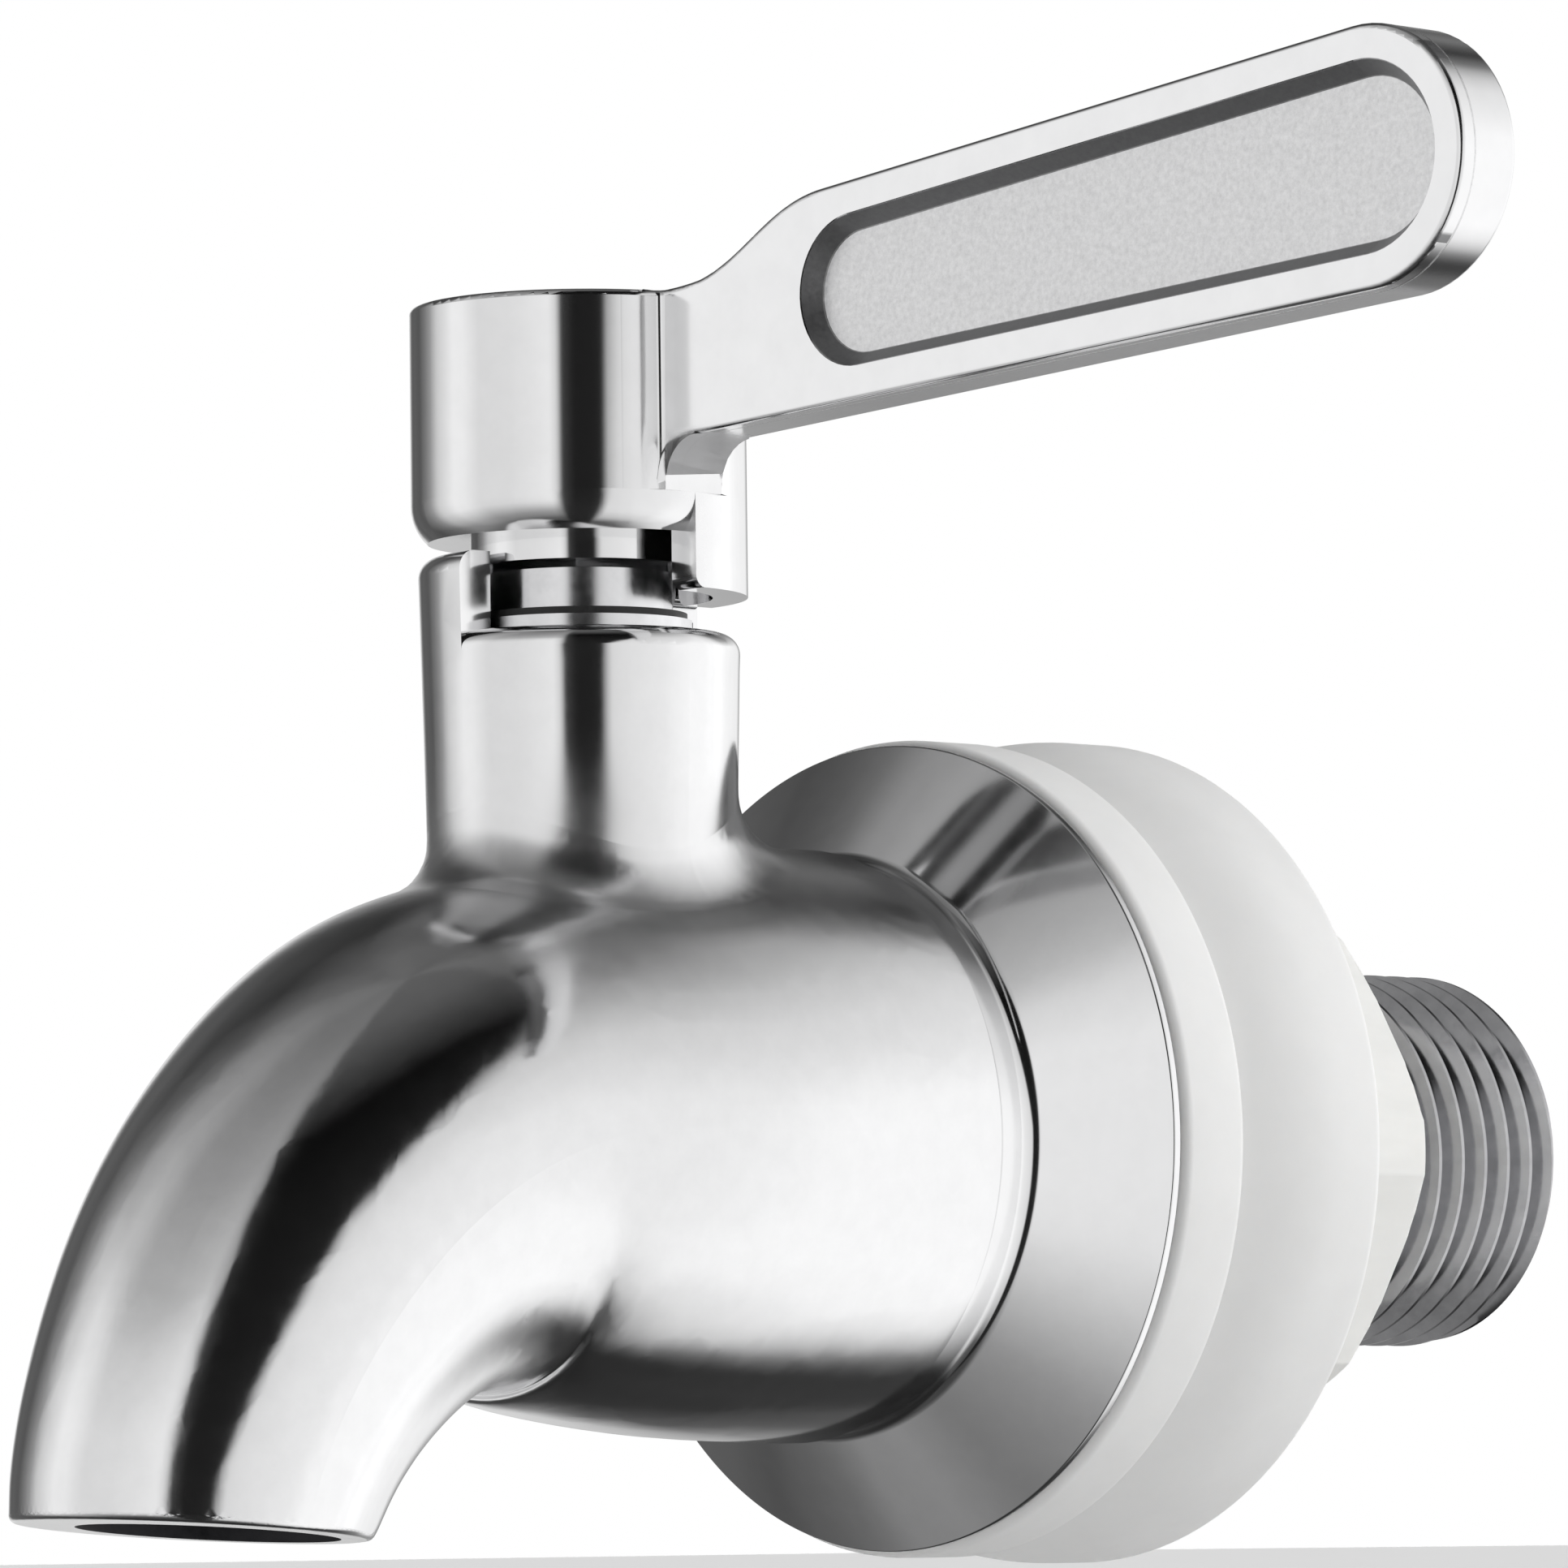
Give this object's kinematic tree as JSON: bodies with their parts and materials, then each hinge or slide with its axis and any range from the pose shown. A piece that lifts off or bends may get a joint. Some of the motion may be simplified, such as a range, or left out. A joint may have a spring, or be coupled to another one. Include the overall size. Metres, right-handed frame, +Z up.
{
  "type": "beverage dispenser spigot",
  "caption": "Quarter turn drink dispenser tap: cast steel spout and lever, plug valve in the neck, threaded shank with escutcheon, washers and lock nut.",
  "frame": {"origin": "on the shank's axis, in the plane where the front washer meets the dispenser's wall", "axes": "+Y along the shank into the dispenser, +Z up along the neck, +X towards the lever when the tap is shut"},
  "size_m": [0.0661, 0.0768, 0.0562],
  "materials": {
    "polished_steel": "bright polished stainless steel",
    "satin_steel": "satin stainless steel with a fine grained panel",
    "turned_steel": "turned stainless steel",
    "white_silicone": "smooth white silicone",
    "white_nylon": "white moulded nylon",
    "valve_plastic": "white low friction plastic",
    "black_rubber": "black seal rubber"
  },
  "bodies": {
    "tap": {"body": "polished_steel", "escutcheon": "polished_steel", "front_washer": "white_silicone", "rear_gasket": "white_silicone", "lock_nut": "white_nylon", "seat_sleeve": "valve_plastic", "thrust_washer": "valve_plastic", "gland_nut": "turned_steel", "wiper_ring": "black_rubber"},
    "lever": {"handle": "satin_steel", "handle_screw": "turned_steel", "spring_washer": "turned_steel", "stem": "turned_steel", "lower_stem_ring": "black_rubber", "upper_stem_ring": "black_rubber"}
  },
  "joints": [
    {"name": "handle_turn", "type": "hinge", "parent": "tap", "child": "lever", "pos_m": [0, -0.0205, 0.0238], "axis": [0, 0, 1], "range_deg": [-90, 0]}
  ]
}
